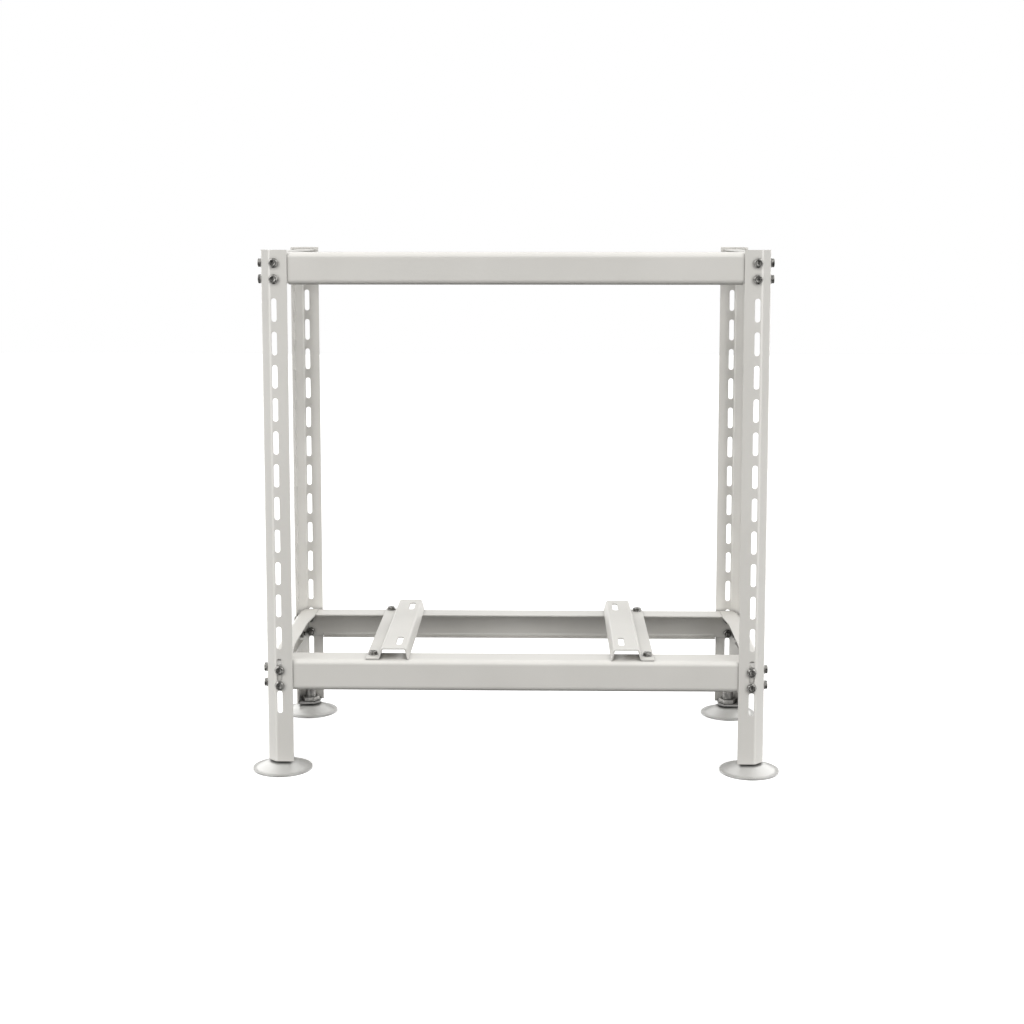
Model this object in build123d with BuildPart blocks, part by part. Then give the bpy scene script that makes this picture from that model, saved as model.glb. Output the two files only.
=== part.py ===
from build123d import *
import math
import os

# Free standing rack that carries the outdoor unit of an air conditioner.
# Millimetres, +Z up, the front of the rack faces -Y, origin on the floor at the middle.

os.makedirs("parts", exist_ok=True)

# overall size, measured over the outer faces of the corner posts
rack_width = 838.0
rack_depth = 380.0
sheet = 2.3
inner_bend = 2.0
outer_bend = inner_bend + sheet

# levelling feet, pressed discs on a screw
foot_inset = 22.5
foot_radius = 50.0
foot_sheet = 3.0
foot_rise = 11.5
foot_plateau = 22.0
foot_skirt = 43.0
foot_bend = 12.0
foot_top = foot_sheet + foot_rise
foot_gap = 4.0
screw_radius = 10.0
screw_head_radius = 14.0
screw_head_height = 4.0
screw_top = 48.0
screw_chamfer = 1.0
lock_nut_hex = 30.0
lock_nut_height = 8.0
base_sheet = 3.0
base_reach = 41.0
base_clip = 10.0

# corner posts, folded angles with a bevelled outer corner
post_leg = 45.0
post_bevel = 15.0
post_bend = 8.0
post_bottom = foot_top + foot_gap
post_top = 880.0
slot_length = 39.0
slot_width = 9.0
slot_pitch = 55.0
slot_inset = 23.0
slot_land = 6.0
first_slot = 121.5

# where the inner face of a leg turns flat, measured from the outer corner
post_flat = post_bevel + post_bend * math.tan(math.radians(22.5))
post_clearance = 0.2

# M8 fixings shared by every joint
bolt_radius = 4.0
bolt_hole = 9.0
bolt_gap = 26.5
bolt_hex = 13.0
bolt_flange_radius = 7.9
bolt_flange_height = 1.5
bolt_hex_height = 3.7
bolt_crown_radius = 6.1
bolt_crown_height = 0.6
bolt_crown_taper = 30.0
bolt_dimple_radius = 3.2
bolt_dimple_depth = 0.9
bolt_tail = 3.5
nut_flange_radius = 7.6
nut_flange_height = 1.4
nut_height = 7.0
thread_clearance = 0.05
bolt_grip = 2 * sheet
bolt_length = bolt_grip + nut_height + bolt_tail

# rails, folded channels that sit behind the post legs
rail_height = 53.0
rail_bend = 8.5
rail_flange = 48.0
side_flange = 30.0
rail_lip = 11.0
rail_end = post_flat + post_clearance
lip_start = 47.0
web_short = 2.0
rail_hole_height = 9.0
flange_start = 38.5
flange_relief = 1.0

# the lower rails bolt through the second slot up and the hole below it
lower_rail = first_slot + slot_pitch - bolt_gap - rail_hole_height
seat = lower_rail + rail_height

# the top rails stop just short of the tops of the posts
top_margin = 4.0
top_rail = post_top - top_margin - rail_height

# holes of the posts under the rails, and the slots that fit below the top pair
low_hole = lower_rail + rail_hole_height
top_hole = top_rail + rail_hole_height
slot_room = top_hole - bolt_hole / 2 - slot_land - slot_length / 2 - first_slot
slot_count = int(slot_room // slot_pitch) + 1

# corner tabs of the side rails, level with the flanges beside them
tab_gap = 0.6
tab_start = 2 * sheet + tab_gap
tab_reach = flange_start - tab_gap
tab_straight = 52.0
tab_end = 112.0
tab_corner = 21.0
tab_radius = 3.0
touch = 0.01

# crossbars, folded steps that the feet of the unit stand on
bar_end_gap = 7.0
bar_length = rack_depth - 2 * bar_end_gap
bar_foot = 21.0
bar_slope = 5.0
bar_rise = 17.0
bar_platform = 41.5
bar_half_span = 242.5
bar_shift = -9.0
bar_slot_length = 54.0
bar_slot_width = 10.0
bar_slot_inset = 53.0
bar_slot_offset = 6.5
bar_bolt_shift = 0.5
bar_bolt_inset = bar_foot / 2 - bar_bolt_shift
bar_bolt_front = 33.0
bar_bolt_back = 18.5

half_width = rack_width / 2
half_depth = rack_depth / 2

# each corner plane has x and y running inwards along the two legs of the post
corners = {
    "front_left": Plane(origin=(-half_width, -half_depth, 0), x_dir=(1, 0, 0)),
    "front_right": Plane(origin=(half_width, -half_depth, 0), x_dir=(0, 1, 0)),
    "back_right": Plane(origin=(half_width, half_depth, 0), x_dir=(-1, 0, 0)),
    "back_left": Plane(origin=(-half_width, half_depth, 0), x_dir=(0, -1, 0)),
}

# each side plane has x along the side and y running inwards
sides = {
    "front": Plane(origin=(0, -half_depth, 0), x_dir=(1, 0, 0)),
    "right": Plane(origin=(half_width, 0, 0), x_dir=(0, 1, 0)),
    "back": Plane(origin=(0, half_depth, 0), x_dir=(-1, 0, 0)),
    "left": Plane(origin=(-half_width, 0, 0), x_dir=(0, -1, 0)),
}


def save(piece, name):
    piece.part.label = name
    export_step(piece.part, "parts/" + name + ".step")


def outer_face(frame):
    """Plane on the outer face of a side, local y up and the normal outwards."""
    return Plane(origin=frame.origin, x_dir=frame.x_dir, z_dir=-frame.y_dir)


def leg_faces(frame):
    """The outer faces of the two legs of a corner, local x = 0 on the slot column."""
    first = frame.origin + frame.x_dir * slot_inset
    second = frame.origin + frame.y_dir * slot_inset
    return (
        Plane(origin=first, x_dir=frame.x_dir, z_dir=-frame.y_dir),
        Plane(origin=second, x_dir=-frame.y_dir, z_dir=-frame.x_dir),
    )


def cross_section(frame, along):
    """Plane across a side, local x inwards and local y up, normal along the side."""
    origin = frame.origin + frame.x_dir * along
    return Plane(origin=origin, x_dir=frame.y_dir, z_dir=frame.x_dir)


def make_post(frame, name):
    with BuildPart() as post:
        with BuildSketch(frame.offset(post_bottom)):
            with BuildLine():
                FilletPolyline(
                    (0, post_leg),
                    (0, post_bevel),
                    (post_bevel, 0),
                    (post_leg, 0),
                    radius=post_bend,
                )
                offset(amount=sheet, side=Side.LEFT)
            make_face()
        extrude(amount=post_top - post_bottom)
        for face in leg_faces(frame):
            with BuildSketch(face):
                for k in range(slot_count):
                    with Locations((0, first_slot + slot_pitch * k)):
                        SlotOverall(slot_length, slot_width, rotation=90)
                with Locations((0, low_hole), (0, top_hole), (0, top_hole + bolt_gap)):
                    Circle(bolt_hole / 2)
            extrude(amount=-2 * sheet, mode=Mode.SUBTRACT)
    save(post, name)


def rail_section(level, flange, lip):
    """Corner points of a folded rail in a cross section of its side."""
    top = level + rail_height
    upper = [(sheet, top), (sheet + flange, top)]
    if lip:
        return [(sheet + rail_lip, level), (sheet, level)] + upper
    return [(sheet, level + web_short)] + upper


def make_rail(frame, length, level, flange, name, tabs=False, bar_bolts=()):
    half = length / 2
    web_half = half - rail_end
    lip_half = half - lip_start
    top = level + rail_height
    with BuildPart() as rail:
        pieces = (
            (-web_half, web_half - lip_half, False),
            (-lip_half, 2 * lip_half, True),
            (lip_half, web_half - lip_half, False),
        )
        for start, run, lip in pieces:
            with BuildSketch(cross_section(frame, start)):
                with BuildLine():
                    FilletPolyline(*rail_section(level, flange, lip), radius=rail_bend)
                    offset(amount=sheet, side=Side.RIGHT)
                make_face()
            extrude(amount=run)

        # bolt holes at both ends of the web
        with BuildSketch(outer_face(frame)):
            for end in (-1, 1):
                for height in (rail_hole_height, rail_hole_height + bolt_gap):
                    with Locations((end * (half - slot_inset), level + height)):
                        Circle(bolt_hole / 2)
        extrude(amount=-3 * sheet, mode=Mode.SUBTRACT)

        if tabs:
            # the flange runs on past the web as a wider tab at both ends
            with BuildSketch(frame.offset(top)):
                for end in (-1, 1):
                    with BuildLine():
                        Polyline(
                            (end * (half - tab_start), tab_corner - tab_start),
                            (end * (half - tab_start), tab_reach),
                            (end * (half - tab_straight), tab_reach),
                            (end * (half - tab_end), sheet + flange),
                            (end * (half - tab_end), sheet + rail_bend),
                            (end * (half - tab_corner + sheet + rail_bend), sheet + rail_bend),
                            close=True,
                        )
                    make_face()
            extrude(amount=-sheet)
            corner_edges = rail.edges().filter_by(Axis.Z)
            near_corner = [e for e in corner_edges if tab_point(frame, half, top, e)]
            fillet(near_corner, radius=tab_radius)
        else:
            # the flange is cut back where the tabs of the side rails lie
            with BuildSketch(frame.offset(top)):
                cut = flange_start - rail_end
                for end in (-1, 1):
                    with Locations((end * (web_half - cut / 2), sheet + flange / 2)):
                        Rectangle(cut, flange)
            extrude(amount=-(rail_bend + flange_relief), mode=Mode.SUBTRACT)

        if bar_bolts:
            with BuildSketch(frame.offset(top)):
                with Locations(*bar_bolts):
                    Circle(bolt_hole / 2)
            extrude(amount=-2 * sheet, mode=Mode.SUBTRACT)
    save(rail, name)


def tab_point(frame, half, top, edge):
    """True for the upright edges of a tab at its slanted outer corner."""
    spot = frame.to_local_coords(edge.center())
    from_end = half - abs(spot.X)
    on_slant = abs(from_end + spot.Y - tab_corner) < touch
    return on_slant and spot.Z > top - rail_bend


def make_crossbar(outer_x, inwards, name):
    """inwards is the sign of the world X direction from the low flange to the platform."""
    frame = Plane(
        origin=(outer_x, inwards * bar_length / 2, seat),
        x_dir=(inwards, 0, 0),
        z_dir=(0, -inwards, 0),
    )
    top_view = Plane(origin=(outer_x, 0, seat), x_dir=(inwards, 0, 0))
    step = sheet + bar_rise
    platform_start = bar_foot + bar_slope
    platform_end = platform_start + bar_platform
    slot_x = platform_start + bar_platform / 2 + bar_slot_offset
    front = -half_depth + bar_bolt_front
    back = half_depth - bar_bolt_back
    with BuildPart() as bar:
        with BuildSketch(frame):
            with BuildLine():
                FilletPolyline(
                    (0, sheet),
                    (bar_foot, sheet),
                    (platform_start, step),
                    (platform_end, step),
                    (platform_end + bar_slope, 0),
                    radius=(inner_bend, outer_bend, outer_bend),
                )
                offset(amount=sheet, side=Side.RIGHT)
            make_face()
        extrude(amount=bar_length)
        split(bisect_by=Plane.XY.offset(seat), keep=Keep.TOP)
        with BuildSketch(top_view.offset(step)):
            for end in (-1, 1):
                with Locations((slot_x, end * (bar_length / 2 - bar_slot_inset))):
                    SlotOverall(bar_slot_length, bar_slot_width, rotation=90)
        extrude(amount=-2 * sheet, mode=Mode.SUBTRACT)
        with BuildSketch(top_view.offset(sheet)):
            with Locations((bar_bolt_inset, inwards * front), (bar_bolt_inset, inwards * back)):
                Circle(bolt_hole / 2)
        extrude(amount=-2 * sheet, mode=Mode.SUBTRACT)
    save(bar, name)


def make_bolts(seats, name):
    """Each seat is the surface under a bolt head, its normal pointing at the head."""
    with BuildPart() as bolts:
        for at in seats:
            with BuildSketch(at):
                Circle(bolt_flange_radius)
            extrude(amount=bolt_flange_height)
            with BuildSketch(at.offset(bolt_flange_height)):
                RegularPolygon(bolt_hex / 2, 6, major_radius=False, rotation=30)
            extrude(amount=bolt_hex_height)
            head = bolt_flange_height + bolt_hex_height
            with BuildSketch(at.offset(head)):
                Circle(bolt_crown_radius)
            extrude(amount=bolt_crown_height, taper=bolt_crown_taper)
            with BuildSketch(at.offset(head + bolt_crown_height)):
                Circle(bolt_dimple_radius)
            extrude(amount=-bolt_dimple_depth, mode=Mode.SUBTRACT)
            with BuildSketch(at):
                Circle(bolt_radius)
            extrude(amount=-bolt_length)
    save(bolts, name)


def make_nuts(seats, name):
    """The seats are those of the bolts; a nut bears on the far side of the two sheets."""
    with BuildPart() as nuts:
        for at in seats:
            with BuildSketch(at.offset(-bolt_grip)):
                Circle(nut_flange_radius)
                Circle(bolt_radius + thread_clearance, mode=Mode.SUBTRACT)
            extrude(amount=-nut_flange_height)
            with BuildSketch(at.offset(-bolt_grip - nut_flange_height)):
                RegularPolygon(bolt_hex / 2, 6, major_radius=False, rotation=30)
                Circle(bolt_radius + thread_clearance, mode=Mode.SUBTRACT)
            extrude(amount=-(nut_height - nut_flange_height))
    save(nuts, name)


def make_foot(frame, corner):
    centre = frame.origin + (frame.x_dir + frame.y_dir) * foot_inset
    floor = Plane(origin=centre, x_dir=frame.x_dir)
    profile = Plane(origin=centre, x_dir=frame.x_dir, z_dir=-frame.y_dir)
    upright = Axis(centre, (0, 0, 1))
    bore = screw_radius + thread_clearance

    with BuildPart() as disc:
        with BuildSketch(profile):
            with BuildLine():
                FilletPolyline(
                    (foot_radius, 0),
                    (foot_skirt, 0),
                    (foot_plateau, foot_rise),
                    (bore, foot_rise),
                    radius=foot_bend,
                )
                offset(amount=foot_sheet, side=Side.RIGHT)
            make_face()
        revolve(axis=upright)
    save(disc, "foot_disc_" + corner)

    with BuildPart() as screw:
        with BuildSketch(floor.offset(foot_rise)):
            Circle(screw_head_radius)
        extrude(amount=-screw_head_height)
        with BuildSketch(floor.offset(foot_rise)):
            Circle(screw_radius)
        extrude(amount=screw_top - foot_rise)
        chamfer(screw.edges().sort_by(Axis.Z)[-1], length=screw_chamfer)
    save(screw, "foot_screw_" + corner)

    with BuildPart() as lock_nut:
        with BuildSketch(floor.offset(post_bottom + base_sheet)):
            RegularPolygon(lock_nut_hex / 2, 6, major_radius=False, rotation=30)
            Circle(bore, mode=Mode.SUBTRACT)
        extrude(amount=lock_nut_height)
    save(lock_nut, "foot_nut_" + corner)

    with BuildPart() as base:
        with BuildSketch(frame.offset(post_bottom)):
            with BuildLine():
                Polyline(
                    (sheet, post_flat + post_clearance),
                    (post_flat + post_clearance, sheet),
                    (base_reach, sheet),
                    (base_reach, base_reach - base_clip),
                    (base_reach - base_clip, base_reach),
                    (sheet, base_reach),
                    close=True,
                )
            make_face()
            with Locations((foot_inset, foot_inset)):
                Circle(bore, mode=Mode.SUBTRACT)
        extrude(amount=base_sheet)
    save(base, "post_base_" + corner)


def joint_seats(frame, level, first_leg, second_leg):
    """Bolt seats of one joint: two heights on each leg that carries a rail."""
    found = []
    for face, used in zip(leg_faces(frame), (first_leg, second_leg)):
        if used:
            for height in (rail_hole_height, rail_hole_height + bolt_gap):
                spot = face.origin + Vector(0, 0, level + height)
                found.append(Plane(origin=spot, x_dir=face.x_dir, z_dir=face.z_dir))
    return found


left_outer = bar_shift - bar_half_span
right_outer = bar_shift + bar_half_span
left_bolt = left_outer + bar_bolt_inset
right_bolt = right_outer - bar_bolt_inset
front_bolts = ((left_bolt, bar_bolt_front), (right_bolt, bar_bolt_front))
back_bolts = ((-left_bolt, bar_bolt_back), (-right_bolt, bar_bolt_back))

for corner, frame in corners.items():
    make_post(frame, "post_" + corner)
    make_foot(frame, corner)
print("posts and feet")

make_rail(sides["front"], rack_width, top_rail, rail_flange, "top_front_rail")
make_rail(sides["left"], rack_depth, top_rail, side_flange, "top_left_rail", tabs=True)
make_rail(sides["right"], rack_depth, top_rail, side_flange, "top_right_rail", tabs=True)
make_rail(
    sides["front"], rack_width, lower_rail, rail_flange, "lower_front_rail", bar_bolts=front_bolts
)
make_rail(
    sides["back"], rack_width, lower_rail, rail_flange, "lower_back_rail", bar_bolts=back_bolts
)
make_rail(sides["left"], rack_depth, lower_rail, side_flange, "lower_left_rail", tabs=True)
make_rail(sides["right"], rack_depth, lower_rail, side_flange, "lower_right_rail", tabs=True)
print("rails")

make_crossbar(left_outer, 1, "left_crossbar")
make_crossbar(right_outer, -1, "right_crossbar")
for side, bolt_x in (("left", left_bolt), ("right", right_bolt)):
    heads = [
        Plane(origin=(bolt_x, -half_depth + bar_bolt_front, seat + sheet)),
        Plane(origin=(bolt_x, half_depth - bar_bolt_back, seat + sheet)),
    ]
    make_bolts(heads, side + "_crossbar_bolts")
    make_nuts(heads, side + "_crossbar_nuts")
print("crossbars")

# the back legs of the two back posts carry no rail at the top
for corner, frame in corners.items():
    top_first = corner != "back_right"
    top_second = corner != "back_left"
    top = joint_seats(frame, top_rail, top_first, top_second)
    lower = joint_seats(frame, lower_rail, True, True)
    make_bolts(top, "top_bolts_" + corner)
    make_nuts(top, "top_nuts_" + corner)
    make_bolts(lower, "lower_bolts_" + corner)
    make_nuts(lower, "lower_nuts_" + corner)
print("bolts and nuts")
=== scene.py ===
import math

import bpy
import numpy as np
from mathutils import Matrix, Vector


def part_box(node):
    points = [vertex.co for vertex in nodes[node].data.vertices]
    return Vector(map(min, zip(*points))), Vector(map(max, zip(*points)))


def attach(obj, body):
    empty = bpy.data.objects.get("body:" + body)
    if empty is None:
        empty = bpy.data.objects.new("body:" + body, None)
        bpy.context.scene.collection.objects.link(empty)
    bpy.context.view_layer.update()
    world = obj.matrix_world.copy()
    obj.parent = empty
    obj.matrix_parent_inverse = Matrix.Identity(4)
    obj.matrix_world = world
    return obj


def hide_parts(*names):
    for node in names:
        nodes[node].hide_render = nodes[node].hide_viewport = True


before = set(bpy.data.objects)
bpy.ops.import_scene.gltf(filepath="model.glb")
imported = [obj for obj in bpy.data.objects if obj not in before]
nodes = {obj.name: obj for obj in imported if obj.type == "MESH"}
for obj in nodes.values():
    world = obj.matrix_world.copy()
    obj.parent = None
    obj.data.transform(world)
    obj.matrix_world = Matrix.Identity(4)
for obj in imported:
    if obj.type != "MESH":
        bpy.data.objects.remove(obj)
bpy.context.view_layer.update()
scene = bpy.context.scene
print("stage 1: the packed rack is loaded,", len(nodes), "nodes")

cameraLook = {
    "place": (0.0518, -2.8950, 0.9169),  # metres in the rack's own frame
    "pitch": 0.110,  # radians below level
    "yaw": 0.021,  # radians towards the left
    "lens": 58.11,
    "filmWidth": 36.0,
    "shiftUp": -0.10,  # the frame hangs low on the rack, as in the photograph
    "farthest": 60.0,
}


def makeCamera(look):
    # a level camera looks along +Y, tipped down by the pitch and turned by the yaw
    data = bpy.data.cameras.new("rackCamera")
    data.lens = look["lens"]
    data.sensor_width = look["filmWidth"]
    data.shift_y = look["shiftUp"]
    data.clip_end = look["farthest"]
    camera = bpy.data.objects.new("rackCamera", data)
    scene.collection.objects.link(camera)
    camera.location = look["place"]
    camera.rotation_euler = (math.pi / 2 - look["pitch"], 0.0, look["yaw"])
    scene.camera = camera


makeCamera(cameraLook)

studio = {
    "skyTint": 0.99,  # share of blue in the sky's white
    # brightness of the sky by the height of its direction, for soft light on the coat
    "softStrength": 1.25,
    "softSky": ((0.0, 0.04), (0.46, 0.07), (0.53, 0.78), (1.0, 0.80)),
    # the same for what shines back from metal and gloss, dark at eye level
    "glossStrength": 2.2,
    "glossSky": ((0.0, 0.02), (0.50, 0.04), (0.58, 0.12), (0.70, 0.72), (1.0, 1.0)),
    # tall white panels to the left and right, by how far sideways a direction points
    "panelStrength": 2.9,
    "panelSides": ((0.0, 0.0), (0.24, 0.0), (0.40, 0.9), (0.88, 1.0), (0.97, 0.4), (1.0, 0.1)),
    # two tall strip lights, in front to the left and right
    "stripPower": 49.0,
    "stripSize": (0.7, 2.4),
    "stripPlaces": ((-2.6, -2.9, 2.0), (2.6, -2.9, 2.0)),
    "stripTarget": (0.0, 0.0, 0.55),
    "floorColour": (0.95, 0.95, 0.95, 1.0),
    "floorRoughness": 0.9,
    "floorSpecular": 0.1,
    "floorGlow": 0.36,  # lifts the shadows towards the white paper of the photograph
    "floorHalf": 9.0,
}


def aimAt(light, target):
    # the tilt is the angle of the way from the target off the vertical, the turn its compass angle
    away = np.array(light.location) - np.array(target)
    flat = math.hypot(away[0], away[1])
    turn = math.atan2(away[1], away[0]) + math.pi / 2
    light.rotation_euler = (math.atan2(flat, away[2]), 0.0, turn)


def makeStrip(name, place, look):
    # a tall rectangle of light, turned towards the target and unseen by the camera
    data = bpy.data.lights.new(name, "AREA")
    data.shape = "RECTANGLE"
    data.size, data.size_y = look["stripSize"]
    data.energy = look["stripPower"]
    light = bpy.data.objects.new(name, data)
    scene.collection.objects.link(light)
    light.location = place
    light.visible_camera = False
    aimAt(light, look["stripTarget"])


def skyBackground(tree, source, stops, strength, tint):
    # a background whose brightness runs through the stops as the source goes from nought to one
    ramp = tree.nodes.new("ShaderNodeValToRGB")
    marks = ramp.color_ramp.elements
    while len(marks) < len(stops):
        marks.new(0.5)  # anywhere, since the positions are set next
    for mark, (position, value) in zip(marks, stops):
        mark.position = position
        mark.color = (value, value, value * tint, 1.0)
    sky = tree.nodes.new("ShaderNodeBackground")
    sky.inputs["Strength"].default_value = strength
    tree.links.new(source.outputs[0], ramp.inputs[0])
    tree.links.new(ramp.outputs[0], sky.inputs["Color"])
    return sky


def makeSky(look):
    # soft light and reflections come from two different skies, and the camera sees plain white
    world = bpy.data.worlds.new("studioSky")
    world.use_nodes = True
    tree = world.node_tree
    tree.nodes.clear()
    towards = tree.nodes.new("ShaderNodeTexCoord")
    split = tree.nodes.new("ShaderNodeSeparateXYZ")
    height = tree.nodes.new("ShaderNodeMapRange")
    height.inputs["From Min"].default_value = -1.0
    tree.links.new(towards.outputs["Generated"], split.inputs[0])
    tree.links.new(split.outputs["Z"], height.inputs["Value"])
    sideways = tree.nodes.new("ShaderNodeMath")
    sideways.operation = "ABSOLUTE"
    tree.links.new(split.outputs["X"], sideways.inputs[0])
    tint = look["skyTint"]
    soft = skyBackground(tree, height, look["softSky"], look["softStrength"], tint)
    above = skyBackground(tree, height, look["glossSky"], look["glossStrength"], tint)
    panels = skyBackground(tree, sideways, look["panelSides"], look["panelStrength"], tint)
    gloss = tree.nodes.new("ShaderNodeAddShader")
    tree.links.new(above.outputs[0], gloss.inputs[0])
    tree.links.new(panels.outputs[0], gloss.inputs[1])
    seen = tree.nodes.new("ShaderNodeBackground")
    seen.inputs["Color"].default_value = (1.0, 1.0, 1.0, 1.0)
    path = tree.nodes.new("ShaderNodeLightPath")
    shiny = tree.nodes.new("ShaderNodeMixShader")
    tree.links.new(path.outputs["Is Glossy Ray"], shiny.inputs[0])
    tree.links.new(soft.outputs[0], shiny.inputs[1])
    tree.links.new(gloss.outputs[0], shiny.inputs[2])
    whole = tree.nodes.new("ShaderNodeMixShader")
    tree.links.new(path.outputs["Is Camera Ray"], whole.inputs[0])
    tree.links.new(shiny.outputs[0], whole.inputs[1])
    tree.links.new(seen.outputs[0], whole.inputs[2])
    out = tree.nodes.new("ShaderNodeOutputWorld")
    tree.links.new(whole.outputs[0], out.inputs[0])
    scene.world = world


def makeFloor(look):
    half = look["floorHalf"]
    mesh = bpy.data.meshes.new("floorSheet")
    ring = [(-half, -half, 0), (half, -half, 0), (half, half, 0), (-half, half, 0)]
    mesh.from_pydata(ring, [], [(0, 1, 2, 3)])
    floor = bpy.data.objects.new("floorSheet", mesh)
    scene.collection.objects.link(floor)
    paper = bpy.data.materials.new("paleFloor")
    paper.use_nodes = True
    shader = paper.node_tree.nodes["Principled BSDF"]
    shader.inputs["Base Color"].default_value = look["floorColour"]
    shader.inputs["Roughness"].default_value = look["floorRoughness"]
    shader.inputs["Specular IOR Level"].default_value = look["floorSpecular"]
    shader.inputs["Emission Color"].default_value = look["floorColour"]
    shader.inputs["Emission Strength"].default_value = look["floorGlow"]
    mesh.materials.append(paper)
    # unseen by the rack, so that the undersides of its rails stay as dark as in the photograph
    floor.visible_diffuse = False
    floor.visible_glossy = False


makeSky(studio)
makeFloor(studio)
for spot, side in zip(studio["stripPlaces"], ("left", "right")):
    makeStrip(side + "StripLight", spot, studio)
scene.view_settings.view_transform = "Standard"
scene.view_settings.look = "None"
print("stage 2: camera, lights and floor")

powderCoat = {
    "colour": (0.622, 0.606, 0.574),
    "shade": (0.592, 0.577, 0.545),
    # painted shade: corners and steps are darkened in the colour itself, down to this share of it
    "creviceShade": 0.5,  # share of the colour left in the tightest corners
    "creviceReach": 0.007,
    "roughness": 0.36,
    "smoother": 0.05,  # how far the grain takes the roughness down and up
    "rougher": 0.07,
    "specular": 1.0,
    "peelScale": 900.0,  # orange peel of the coat, in waves per metre
    "peelDepth": 0.00004,
    "peelStrength": 0.35,
    "peelDetail": (2.0, 0.55),  # octaves, and how much the finer ones keep
    "grainScale": 800.0,
    "grainDetail": (2.0, 0.5),
    "cloudScale": 7.0,  # slow drift between the two colours
    "cloudDetail": (3.0, 0.5),
    "cloudRange": (0.35, 0.65),
    "edgeRound": 0.0009,  # radius of the worn edges, in metres
    "edgeSamples": 4,
}

platedSteel = {
    "colour": (0.20, 0.196, 0.187),
    "dark": (0.085, 0.083, 0.079),
    "roughness": 0.27,
    "smoother": 0.08,
    "rougher": 0.1,
    "stainScale": 260.0,
    "stainDetail": (5.0, 0.6),
    "stainRange": (0.38, 0.62),
    "scratchScale": 2400.0,
    "scratchDetail": (2.0, 0.5),
    "scratchStrength": 0.25,
    "scratchDepth": 0.00002,
    # painted shade in the corners of the heads and nuts
    "creviceShade": 0.3,
    "creviceReach": 0.003,
}

# the levelling screws and lock nuts are duller than the flange bolts
galvanisedSteel = dict(
    platedSteel,
    colour=(0.27, 0.264, 0.252),
    dark=(0.17, 0.166, 0.16),
    roughness=0.55,
    stainScale=160.0,
    scratchScale=1800.0,
    # painted shade in the corners, deeper and wider than on the bolts
    creviceShade=0.4,
    creviceReach=0.006,
)

# painted shade: the foot discs take a darker copy of the same powder coat, toned down against the
# light and reflections on their upturned tops, with a smoother peel
shadedFootCoat = dict(
    powderCoat,
    colour=(0.43, 0.424, 0.408),
    shade=(0.405, 0.40, 0.384),
    peelDepth=0.00002,
)

# painted shade: the base plates inside the posts take a dark copy of the powder coat, standing in
# for the shade in the gap under the posts
shadedPlateCoat = dict(
    powderCoat,
    colour=(0.26, 0.256, 0.247),
    shade=(0.22, 0.217, 0.209),
    roughness=0.45,
)

# how the painted shade in the corners follows the openness of the surface
paintedCreviceShadeLook = {
    "samples": 6,
    "closedBelow": 0.45,  # openness at which a corner has all of its shade
    "openAbove": 0.95,
}


def noiseAt(tree, coordinates, scale, detail):
    # noise in the piece's own space, its detail given as octaves and the share the finer ones keep
    octaves, falloff = detail
    noise = tree.nodes.new("ShaderNodeTexNoise")
    noise.inputs["Scale"].default_value = scale
    noise.inputs["Detail"].default_value = octaves
    noise.inputs["Roughness"].default_value = falloff
    tree.links.new(coordinates.outputs["Object"], noise.inputs["Vector"])
    return noise


def rampBetween(tree, source, low, high, first, second):
    # the first colour up to low, the second from high on, and a straight blend between them
    ramp = tree.nodes.new("ShaderNodeValToRGB")
    ramp.color_ramp.elements[0].position = low
    ramp.color_ramp.elements[1].position = high
    ramp.color_ramp.elements[0].color = (*first, 1.0)
    ramp.color_ramp.elements[1].color = (*second, 1.0)
    tree.links.new(source, ramp.inputs[0])
    return ramp


def rangeBetween(tree, source, low, high):
    # nought to one is spread from low to high
    spread = tree.nodes.new("ShaderNodeMapRange")
    spread.inputs["To Min"].default_value = low
    spread.inputs["To Max"].default_value = high
    tree.links.new(source, spread.inputs["Value"])
    return spread


def paintShadeInCrevices(tree, colour, look):
    # painted shade: the colour is multiplied by a grey that falls from one to creviceShade where
    # the surface is hemmed in, darkening corners, folds and steps where shade falls
    openness = tree.nodes.new("ShaderNodeAmbientOcclusion")
    openness.samples = paintedCreviceShadeLook["samples"]
    openness.inputs["Distance"].default_value = look["creviceReach"]
    grey = (look["creviceShade"],) * 3
    low, high = paintedCreviceShadeLook["closedBelow"], paintedCreviceShadeLook["openAbove"]
    shade = rampBetween(tree, openness.outputs["AO"], low, high, grey, (1.0, 1.0, 1.0))
    blend = tree.nodes.new("ShaderNodeMix")
    blend.data_type = "RGBA"
    blend.blend_type = "MULTIPLY"
    blend.inputs["Factor"].default_value = 1.0
    tree.links.new(colour.outputs[0], blend.inputs[6])
    tree.links.new(shade.outputs[0], blend.inputs[7])
    return blend.outputs[2]


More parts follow.
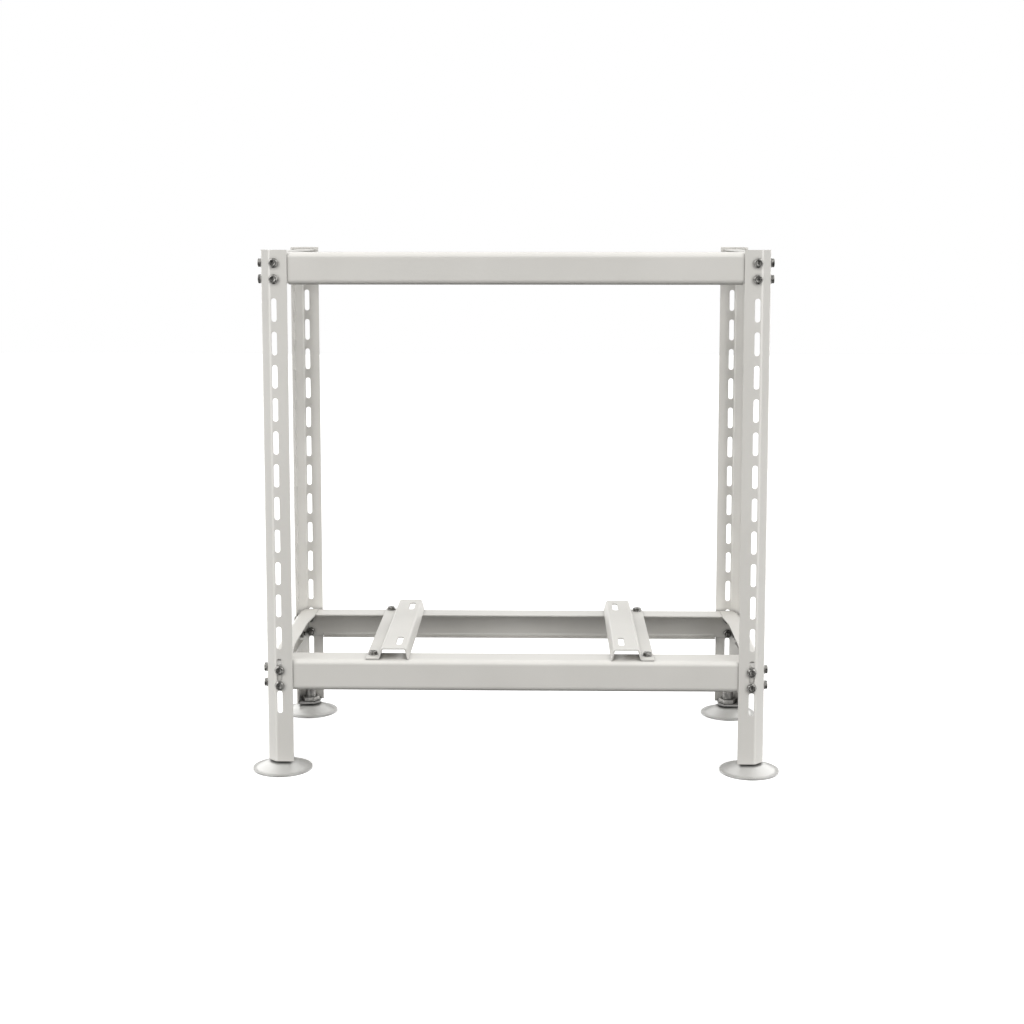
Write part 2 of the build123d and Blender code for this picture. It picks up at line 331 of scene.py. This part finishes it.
def makePowderCoat(name, look):
    # two close colours in slow clouds, a fine grain in the gloss, orange peel, softly worn edges
    # and painted shade in the corners
    material = bpy.data.materials.new(name)
    material.use_nodes = True
    tree = material.node_tree
    shader = tree.nodes["Principled BSDF"]
    place = tree.nodes.new("ShaderNodeTexCoord")
    cloud = noiseAt(tree, place, look["cloudScale"], look["cloudDetail"])
    low, high = look["cloudRange"]
    colour = rampBetween(tree, cloud.outputs[0], low, high, look["shade"], look["colour"])
    # the coat's colour takes painted shade in its corners
    tree.links.new(paintShadeInCrevices(tree, colour, look), shader.inputs["Base Color"])
    grain = noiseAt(tree, place, look["grainScale"], look["grainDetail"])
    smooth, rough = look["roughness"] - look["smoother"], look["roughness"] + look["rougher"]
    gloss = rangeBetween(tree, grain.outputs[0], smooth, rough)
    tree.links.new(gloss.outputs[0], shader.inputs["Roughness"])
    peel = noiseAt(tree, place, look["peelScale"], look["peelDetail"])
    bump = tree.nodes.new("ShaderNodeBump")
    bump.inputs["Strength"].default_value = look["peelStrength"]
    bump.inputs["Distance"].default_value = look["peelDepth"]
    tree.links.new(peel.outputs[0], bump.inputs["Height"])
    rounded = tree.nodes.new("ShaderNodeBevel")
    rounded.samples = look["edgeSamples"]
    rounded.inputs["Radius"].default_value = look["edgeRound"]
    tree.links.new(rounded.outputs[0], bump.inputs["Normal"])
    tree.links.new(bump.outputs[0], shader.inputs["Normal"])
    shader.inputs["Specular IOR Level"].default_value = look["specular"]
    return material


def makeBareSteel(name, look):
    # bare metal whose stains drift between two colours and dull the gloss, with hair fine scratches
    # and painted shade in the corners
    material = bpy.data.materials.new(name)
    material.use_nodes = True
    tree = material.node_tree
    shader = tree.nodes["Principled BSDF"]
    shader.inputs["Metallic"].default_value = 1.0
    place = tree.nodes.new("ShaderNodeTexCoord")
    stain = noiseAt(tree, place, look["stainScale"], look["stainDetail"])
    low, high = look["stainRange"]
    colour = rampBetween(tree, stain.outputs[0], low, high, look["dark"], look["colour"])
    # the steel's colour takes painted shade in its corners
    tree.links.new(paintShadeInCrevices(tree, colour, look), shader.inputs["Base Color"])
    smooth, rough = look["roughness"] - look["smoother"], look["roughness"] + look["rougher"]
    gloss = rangeBetween(tree, stain.outputs[0], smooth, rough)
    tree.links.new(gloss.outputs[0], shader.inputs["Roughness"])
    scratch = noiseAt(tree, place, look["scratchScale"], look["scratchDetail"])
    bump = tree.nodes.new("ShaderNodeBump")
    bump.inputs["Strength"].default_value = look["scratchStrength"]
    bump.inputs["Distance"].default_value = look["scratchDepth"]
    tree.links.new(scratch.outputs[0], bump.inputs["Height"])
    tree.links.new(bump.outputs[0], shader.inputs["Normal"])
    return material


coatMaterial = makePowderCoat("warmGreyPowderCoat", powderCoat)
steelMaterial = makeBareSteel("platedSteel", platedSteel)
galvanisedMaterial = makeBareSteel("galvanisedSteel", galvanisedSteel)
shadedFootMaterial = makePowderCoat("shadedFootPowderCoat", shadedFootCoat)
shadedPlateMaterial = makePowderCoat("paintedShadePlateCoat", shadedPlateCoat)


def materialFor(name):
    if name.startswith(("foot_nut", "foot_screw")):
        return galvanisedMaterial
    # the foot discs take the darker copy of the coat, painted shade
    if name.startswith("foot_disc"):
        return shadedFootMaterial
    # the base plates take the dark copy of the coat, painted shade
    if name.startswith("post_base"):
        return shadedPlateMaterial
    return steelMaterial if "bolts" in name or "nuts" in name else coatMaterial


def dressNodes():
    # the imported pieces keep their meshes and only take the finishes
    for name, piece in nodes.items():
        for place in piece.material_slots:
            place.material = materialFor(name)


dressNodes()
print("stage 3: materials")

fullTurn = 2 * math.pi
hexSide = fullTurn / 6
goldenStep = 2.399963  # radians
millimetre = 0.001
noSide = 1.0  # a side farther off than any row, which leaves the row round
corners = ("front_left", "front_right", "back_right", "back_left")
postLayout = {
    "slotInset": 0.023,  # from the outer corner of a post to its column of bolts
    "grip": 0.0046,  # the two sheets between a bolt's head and its nut
}


def basisFacing(outward):
    # a right handed basis whose third row points outwards
    out = np.array(outward, float)
    up = np.array((0.0, 0.0, 1.0)) if abs(out[2]) < 0.5 else np.array((0.0, 1.0, 0.0))
    return np.stack([np.cross(up, out), up, out])


def turnedReach(radius, flat, angle, turn):
    # the reach from the axis is the row's radius, cut down to the hexagon's side wherever that lies
    # nearer: a side lies at flat divided by the cosine of the angle from its middle
    fromSide = (angle + turn) % hexSide - hexSide / 2
    return np.minimum(radius, flat[:, None] / np.cos(fromSide)[None, :])


def threadReach(height, angle, thread):
    # the reach falls from the outer radius by the thread's depth along a triangle wave, whose phase
    # grows by one with each pitch of height and each turn about the axis
    phase = (height[:, None] / thread["pitch"] - angle[None, :] / fullTurn) % 1.0
    return thread["radius"] - thread["depth"] * np.abs(2 * phase - 1)


def gridFaces(rows, columns, closed):
    # one four sided face between each pair of neighbouring rows and columns, the columns closing on
    # themselves, and the rows too where closed is set
    steps = rows if closed else rows - 1
    row = np.arange(steps)[:, None] * columns
    below = (np.arange(1, steps + 1)[:, None] % rows) * columns
    near = np.arange(columns)[None, :]
    far = (near + 1) % columns
    return np.stack([row + near, below + near, below + far, row + far], axis=2).reshape(-1, 4)


def fanFaces(ring, pole, columns, inwards):
    # one triangle from each side of a ring of vertices to a pole
    near = ring + np.arange(columns)
    far = ring + (np.arange(columns) + 1) % columns
    tip = np.full(columns, pole)
    order = (tip, near, far) if inwards else (near, tip, far)
    return np.stack(order, axis=1)


def turnedSolid(reach, height, angle, closed):
    # each row is a ring: x and y are its reach times the cosine and sine of the angle, and z its
    # height; an open run of rows is closed by a pole at both ends
    columns = len(angle)
    level = np.repeat(height[:, None], columns, axis=1)
    ring = np.stack([reach * np.cos(angle), reach * np.sin(angle), level], axis=2).reshape(-1, 3)
    quads = gridFaces(len(height), columns, closed)
    if closed:
        return ring, quads, np.zeros((0, 3), int)
    first = len(ring)
    poles = np.array([(0, 0, height[0]), (0, 0, height[-1])])
    fans = np.concatenate([
        fanFaces(0, first, columns, True),
        fanFaces(first - columns, first + 1, columns, False),
    ])
    return np.concatenate([ring, poles]), quads, fans


def placeSolid(solid, seat, outward):
    # each point is turned by the basis that faces outwards, then moved by the seat
    points, quads, fans = solid
    return points @ basisFacing(outward) + np.array(seat), quads, fans


def makePiece(name, solids, material, slotName, node, sharp):
    # the solids' points follow one another, and each solid's faces count on from those before it
    points, faces, base = [], [], 0
    for vertices, quads, fans in solids:
        points.append(vertices)
        faces += (quads + base).tolist() + (fans + base).tolist()
        base += len(vertices)
    mesh = bpy.data.meshes.new(name)
    mesh.from_pydata(np.concatenate(points).tolist(), [], faces)
    mesh.polygons.foreach_set("use_smooth", np.ones(len(faces), bool))
    mesh.set_sharp_from_angle(angle=sharp)
    mesh.materials.append(material)
    mesh.update()
    piece = bpy.data.objects.new(name, mesh)
    scene.collection.objects.link(piece)
    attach(piece, "root")
    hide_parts(node)


boltShape = {
    "columns": 72,
    "flat": 0.0065,  # from the axis to a side of the hexagon
    "headHeight": 0.0058,
    "flangeRadius": 0.0079,
    "sharp": 0.55,  # edges that turn by more than this, in radians, stay crisp
    # radius and height over the seat in millimetres, and whether the row is cut by the hexagon
    "head": (
        (1.6, 4.93, 0), (2.5, 4.96, 0), (2.95, 5.1, 0), (3.2, 5.45, 0), (3.35, 5.7, 0),
        (3.6, 5.8, 0), (5.5, 5.8, 0), (5.95, 5.74, 0), (6.3, 5.6, 0), (6.55, 5.46, 1),
        (6.8, 5.32, 1), (7.05, 5.17, 1), (7.3, 5.0, 1), (7.5, 4.86, 1), (7.6, 4.7, 1),
        (7.6, 3.2, 1), (7.6, 1.95, 1), (7.6, 1.72, 1), (7.4, 1.5, 0), (7.6, 1.34, 0),
        (7.82, 1.1, 0), (7.9, 0.8, 0), (7.9, 0.2, 0), (7.75, 0.0, 0), (3.95, 0.0, 0),
        (3.95, -4.0, 0),
    ),
    "length": 0.0151,  # from the seat to the end of the thread
    "threadStart": 0.0105,  # from the seat to the end of the plain shank
    "rowsPerPitch": 8,
    "endChamfer": 0.0007,
    "thread": {"radius": 0.004, "depth": 0.0007, "pitch": 0.00125},
}

nutShape = {
    "columns": 72,
    "flat": 0.0065,
    "sharp": 0.55,
    # radius and depth below the bearing face in millimetres, and whether the hexagon cuts the row
    "rings": (
        (4.15, 0.0, 0), (7.4, 0.0, 0), (7.6, 0.2, 0), (7.6, 0.8, 0), (7.5, 1.1, 0),
        (7.3, 1.3, 0), (7.2, 1.4, 0), (7.5, 1.6, 1), (7.6, 1.8, 1), (7.6, 4.2, 1),
        (7.6, 6.1, 1), (7.5, 6.25, 1), (7.3, 6.38, 1), (7.05, 6.52, 1), (6.8, 6.66, 1),
        (6.5, 6.82, 1), (6.2, 6.94, 0), (5.9, 7.0, 0), (5.0, 7.0, 0), (4.5, 6.85, 0),
        (4.15, 6.5, 0), (4.15, 3.2, 0),
    ),
}

footScrewShape = {
    "columns": 72,
    "sharp": 0.55,
    "thread": {"radius": 0.01, "depth": 0.0013, "pitch": 0.0025},
    "rowsPerPitch": 8,
    "endChamfer": 0.0016,
    "headRadius": 0.014,
    "headHeight": 0.004,
    "headRound": 0.0006,
}

lockNutShape = {
    "columns": 72,
    "flat": 0.015,
    "sharp": 0.55,
    # radius and height over the base plate in millimetres, and whether the hexagon cuts the row
    "rings": (
        (10.2, 0.0, 0), (14.3, 0.0, 0), (14.9, 0.2, 1), (15.7, 0.5, 1), (16.5, 0.85, 1),
        (17.3, 1.25, 1), (17.3, 4.0, 1), (17.3, 6.75, 1), (16.5, 7.15, 1), (15.7, 7.5, 1),
        (14.9, 7.8, 1), (14.3, 8.0, 0), (11.0, 8.0, 0), (10.2, 7.2, 0), (10.2, 4.0, 0),
    ),
}


def threadedRows(start, end, shape):
    # evenly spaced heights along a thread, rowsPerPitch of them to each pitch
    pitches = abs(end - start) / shape["thread"]["pitch"]
    count = int(pitches * shape["rowsPerPitch"]) + 1
    return np.linspace(start, end, count)


def boltSolid(shape, turn):
    # the head's rows lie above the seat, then come the thread's rows down to the end, where the
    # reach is held inside a cone that widens by as much as it rises
    columns = shape["columns"]
    angle = np.arange(columns) / columns * fullTurn - turn
    head = np.array(shape["head"], float)
    headHeight = head[:, 1] * millimetre
    flat = np.where(head[:, 2] > 0, shape["flat"], noSide)
    headReach = turnedReach(head[:, :1] * millimetre, flat, angle, turn)
    tailHeight = threadedRows(-shape["threadStart"], -shape["length"], shape)
    cone = shape["thread"]["radius"] - shape["endChamfer"] + (tailHeight + shape["length"])
    tailReach = np.minimum(threadReach(tailHeight, angle, shape["thread"]), cone[:, None])
    height = np.concatenate([headHeight, tailHeight])
    return turnedSolid(np.concatenate([headReach, tailReach]), height, angle, False)


def nutSolid(shape, turn):
    # a closed run of rows round the nut's cross section, from the bore out and back into it
    columns = shape["columns"]
    angle = np.arange(columns) / columns * fullTurn - turn
    rings = np.array(shape["rings"], float)
    flat = np.where(rings[:, 2] > 0, shape["flat"], noSide)
    reach = turnedReach(rings[:, :1] * millimetre, flat, angle, turn)
    return turnedSolid(reach, -rings[:, 1] * millimetre, angle, True)


def footScrewSolid(shape, low, high):
    # from the top of the thread, held inside a cone as on the bolts, down to the round head, whose
    # rim is eased by two short rows
    columns = shape["columns"]
    angle = np.arange(columns) / columns * fullTurn
    neck = low + shape["headHeight"]
    stemHeight = threadedRows(high, neck, shape)
    cone = shape["thread"]["radius"] - shape["endChamfer"] + (high - stemHeight)
    stemReach = np.minimum(threadReach(stemHeight, angle, shape["thread"]), cone[:, None])
    ease, rim = shape["headRound"], shape["headRadius"]
    headReach = np.array([rim - ease, rim, rim, rim - ease])
    headHeight = np.array([neck, neck - ease, low + ease, low])
    reach = np.concatenate([stemReach, np.repeat(headReach[:, None], columns, axis=1)])
    return turnedSolid(reach, np.concatenate([stemHeight, headHeight]), angle, False)


def makeFootFixings(corner):
    # the screw fills the height of its node's box, and the nut starts at the foot of its own
    screwNode, nutNode = "foot_screw_" + corner, "foot_nut_" + corner
    low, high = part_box(screwNode)
    middle = ((low[0] + high[0]) / 2, (low[1] + high[1]) / 2)
    screw = placeSolid(footScrewSolid(footScrewShape, low[2], high[2]), (*middle, 0.0), (0, 0, 1))
    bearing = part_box(nutNode)[0][2]
    nut = placeSolid(nutSolid(lockNutShape, 0.0), (*middle, bearing), (0, 0, -1))
    finish = (galvanisedMaterial, "galvanised_steel")
    makePiece(screwNode + "_detail", [screw], *finish, screwNode, footScrewShape["sharp"])
    makePiece(nutNode + "_detail", [nut], *finish, nutNode, lockNutShape["sharp"])


def cornerSeats(corner, group):
    # seats of one corner joint, read off the boxes of the post and of its bolts
    low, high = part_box("post_" + corner)
    bottom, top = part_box(group + "_bolts_" + corner)
    leftSide, frontSide = "left" in corner, "front" in corner
    outerX = low[0] if leftSide else high[0]
    outerY = low[1] if frontSide else high[1]
    inX = postLayout["slotInset"] * (1 if leftSide else -1)
    inY = postLayout["slotInset"] * (1 if frontSide else -1)
    reach = boltShape["flangeRadius"]
    heights = (bottom[2] + reach, top[2] - reach)
    sideSeats = [((outerX, outerY + inY, z), (-1 if leftSide else 1, 0, 0)) for z in heights]
    endSeats = [((outerX + inX, outerY, z), (0, -1 if frontSide else 1, 0)) for z in heights]
    return sideSeats if group == "top" and not frontSide else endSeats + sideSeats


def crossbarSeats(side):
    # seats of one crossbar's two bolts, read off the box of the bolts
    low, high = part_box(side + "_crossbar_bolts")
    x = (low[0] + high[0]) / 2
    z = high[2] - boltShape["headHeight"]
    reach = boltShape["flangeRadius"]
    return [((x, low[1] + reach, z), (0, 0, 1)), ((x, high[1] - reach, z), (0, 0, 1))]


def turnOf(index):
    # each fixing stopped at its own angle when it was tightened: golden steps about the axis
    return index * goldenStep % fullTurn


def makeFixings(group, seats, first):
    # one bolt and one nut for each seat, the nut beyond the two sheets that the bolt holds together
    boltNode, nutNode = group
    bolts, nuts = [], []
    for count, (seat, outward) in enumerate(seats):
        turn = turnOf(first + count)
        bolts.append(placeSolid(boltSolid(boltShape, turn), seat, outward))
        inner = np.array(seat) - np.array(outward) * postLayout["grip"]
        # the nut was stopped at another angle than its bolt
        nuts.append(placeSolid(nutSolid(nutShape, turn * 2), inner, outward))
    finish = (steelMaterial, "plated_steel")
    makePiece(boltNode + "_detail", bolts, *finish, boltNode, boltShape["sharp"])
    makePiece(nutNode + "_detail", nuts, *finish, nutNode, nutShape["sharp"])
    return first + len(seats)


placed = 0
for corner in corners:
    for group in ("top", "lower"):
        names = (group + "_bolts_" + corner, group + "_nuts_" + corner)
        placed = makeFixings(names, cornerSeats(corner, group), placed)
for side in ("left", "right"):
    names = (side + "_crossbar_bolts", side + "_crossbar_nuts")
    placed = makeFixings(names, crossbarSeats(side), placed)
for corner in corners:
    makeFootFixings(corner)
print("stage 4:", placed, "flange bolts and nuts,", len(corners), "levelling screws")
